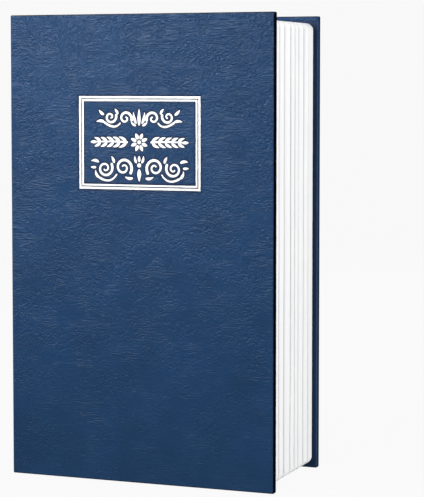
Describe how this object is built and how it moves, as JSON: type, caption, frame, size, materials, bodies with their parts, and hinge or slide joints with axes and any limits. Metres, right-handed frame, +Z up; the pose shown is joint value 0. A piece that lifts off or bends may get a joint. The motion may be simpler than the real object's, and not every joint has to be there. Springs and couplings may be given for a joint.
{
  "type": "book diversion safe",
  "caption": "Hard-cover book that hides a steel box: the cover opens on a recessed door with a dial combination lock and a turn knob.",
  "frame": {"origin": "middle of the closed book's footprint, at the tail edge it stands on", "axes": "+Z up the standing book from tail to head, -Y out of the front cover, -X out of the spine, +X out of the fore-edge"},
  "size_m": [0.109, 0.055, 0.18],
  "materials": {
    "leatherette": "embossed navy leatherette, satin",
    "greyboard": "raw grey bookbinding board",
    "endpaper": "matt dark blue-grey paper",
    "page_moulding": "off-white moulding ribbed like page edges",
    "box_paint": "black powder coat on steel sheet",
    "lock_plastic": "fine-textured satin black",
    "dial_plastic": "white with black numerals",
    "plated_steel": "bright zinc plate",
    "sleeve_brass": "turned, plain"
  },
  "bodies": {
    "book_case": {"back_board": "greyboard", "back_leatherette": "leatherette", "back_endpaper": "endpaper", "spine_board": "greyboard", "spine_leatherette": "leatherette", "front_joint_strip": "leatherette", "page_block": "page_moulding", "box_tray": "box_paint", "box_hinge_leaf": "box_paint", "hinge_pin": "plated_steel"},
    "front_cover": {"front_board": "greyboard", "front_leatherette": "leatherette", "front_endpaper": "endpaper"},
    "door": {"door_panel": "box_paint", "lock_case": "lock_plastic", "lock_back_cover": "lock_plastic", "index_strip": "dial_plastic", "detent_spring": "plated_steel", "dial_shaft": "plated_steel", "lock_screw_1": "plated_steel", "lock_screw_2": "plated_steel"},
    "dial_wheel_1": {"dial_1": "dial_plastic", "code_sleeve_1": "sleeve_brass"},
    "dial_wheel_2": {"dial_2": "dial_plastic", "code_sleeve_2": "sleeve_brass"},
    "dial_wheel_3": {"dial_3": "dial_plastic", "code_sleeve_3": "sleeve_brass"},
    "knob_and_cam": {"knob": "lock_plastic", "spindle": "plated_steel", "cam": "plated_steel", "cam_nut": "plated_steel"},
    "lock_fence": {"fence": "plated_steel"},
    "code_lever": {"reset_lever": "lock_plastic"}
  },
  "joints": [
    {"name": "cover_hinge", "type": "hinge", "parent": "book_case", "child": "front_cover", "pos_m": [-0.0546, -0.024, 0.09], "axis": [0, 0, -1], "range_deg": [0, 180], "deforming": ["front_joint_strip"]},
    {"name": "door_hinge", "type": "hinge", "parent": "book_case", "child": "door", "pos_m": [-0.04515, -0.01325, 0.09], "axis": [0, 0, -1], "range_deg": [0, 100]},
    {"name": "dial_1_turn", "type": "hinge", "parent": "door", "child": "dial_wheel_1", "pos_m": [0.027, -0.01505, 0.1038], "axis": [0, 0, 1], "continuous": true},
    {"name": "dial_2_turn", "type": "hinge", "parent": "door", "child": "dial_wheel_2", "pos_m": [0.027, -0.01505, 0.0975], "axis": [0, 0, 1], "continuous": true},
    {"name": "dial_3_turn", "type": "hinge", "parent": "door", "child": "dial_wheel_3", "pos_m": [0.027, -0.01505, 0.0912], "axis": [0, 0, 1], "continuous": true},
    {"name": "knob_turn", "type": "hinge", "parent": "door", "child": "knob_and_cam", "pos_m": [0.027, -0.01505, 0.0752], "axis": [0, -1, 0], "range_deg": [0, 90]},
    {"name": "fence_slide", "type": "slide", "parent": "door", "child": "lock_fence", "axis": [0, 0, 1], "range_m": [0, 0.0017]},
    {"name": "lever_slide", "type": "slide", "parent": "door", "child": "code_lever", "axis": [0, 0, -1], "range_m": [0, 0.0022]}
  ],
  "couplings": [
    {"joint": "door_hinge", "follows": "cover_hinge", "ratio": 0.55},
    {"joint": "fence_slide", "follows": "knob_turn", "m_per_rad": 0.00108}
  ]
}
